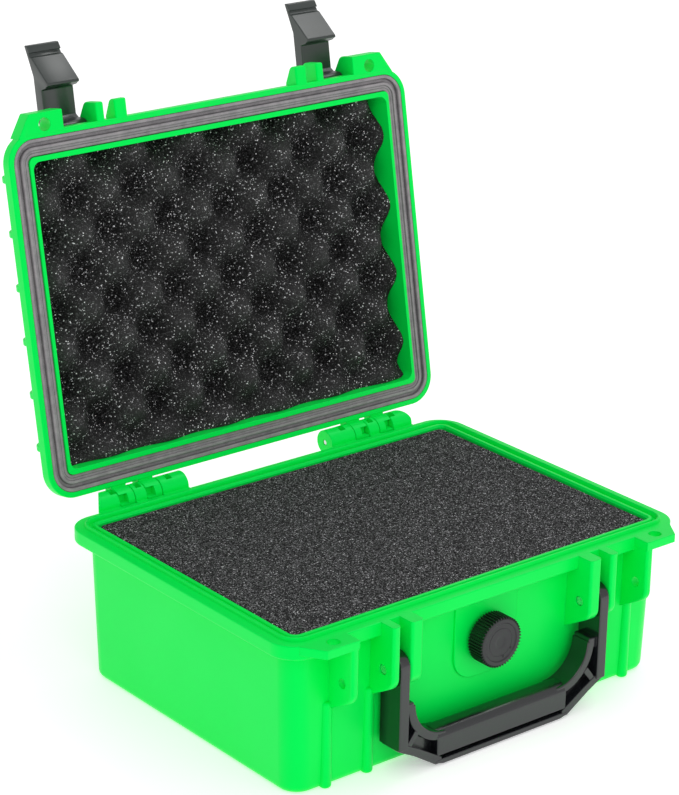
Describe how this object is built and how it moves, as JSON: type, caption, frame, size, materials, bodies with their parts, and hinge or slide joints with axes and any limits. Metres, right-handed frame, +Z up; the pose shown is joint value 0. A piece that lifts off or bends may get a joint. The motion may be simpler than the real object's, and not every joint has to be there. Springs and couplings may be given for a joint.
{
  "type": "hard case with foam lining",
  "caption": "Small moulded hard case standing open, with foam lining, a rubber lid seal, draw-down latches, a swinging bail handle and a purge valve.",
  "frame": {"origin": "middle of the underside, on the surface the case stands on", "axes": "+Z up, front with the handle at -Y, +X across the width to the right of someone facing the front"},
  "size_m": [0.27, 0.2921, 0.3271],
  "materials": {
    "shell": "fine satin moulded",
    "seal": "matt, smooth",
    "lid_foam": "open-cell foam",
    "base_foam": "open-cell foam",
    "latch": "semi-gloss moulded",
    "handle": "semi-gloss moulded",
    "valve": "satin moulded",
    "valve_rubber": "matt",
    "pin_steel": "plain ground"
  },
  "bodies": {
    "base": {"base_shell": "shell", "base_foam_upper": "base_foam", "base_foam_lower": "base_foam", "base_foam_pad": "base_foam", "hinge_pin_left": "pin_steel", "hinge_pin_right": "pin_steel", "handle_pin_left": "pin_steel", "handle_pin_right": "pin_steel", "valve_stem": "valve", "valve_nut": "valve", "valve_washer": "valve_rubber"},
    "lid": {"lid_shell": "shell", "lid_gasket": "seal", "lid_foam": "lid_foam", "latch_pin_left": "pin_steel", "latch_pin_right": "pin_steel"},
    "latch_left": {"latch_left": "latch"},
    "latch_right": {"latch_right": "latch"},
    "handle": {"carry_handle": "handle"},
    "valve_carrier": {"valve_seal_ring": "valve_rubber"},
    "valve_knob": {"valve_knob": "valve"}
  },
  "joints": [
    {"name": "lid_hinge", "type": "hinge", "parent": "base", "child": "lid", "pos_m": [0, 0.107, 0.088], "axis": [1, 0, 0], "range_deg": [0, 100.4]},
    {"name": "latch_left_pivot", "type": "hinge", "parent": "lid", "child": "latch_left", "pos_m": [-0.08775, 0.15659, 0.28671], "axis": [1, 0, 0], "range_deg": [-12, 101]},
    {"name": "latch_right_pivot", "type": "hinge", "parent": "lid", "child": "latch_right", "pos_m": [0.08775, 0.15659, 0.28671], "axis": [1, 0, 0], "range_deg": [-12, 101]},
    {"name": "handle_swing", "type": "hinge", "parent": "base", "child": "handle", "pos_m": [0, -0.101, 0.0625], "axis": [-1, 0, 0], "range_deg": [-3, 130]},
    {"name": "valve_slide", "type": "slide", "parent": "base", "child": "valve_carrier", "axis": [0, -1, 0], "range_m": [0, 0.0015]},
    {"name": "valve_turn", "type": "hinge", "parent": "valve_carrier", "child": "valve_knob", "pos_m": [0, -0.0985, 0.056], "axis": [0, -1, 0], "range_deg": [0, 360]}
  ],
  "couplings": [
    {"joint": "valve_slide", "follows": "valve_turn", "m_per_rad": 0.000238}
  ]
}
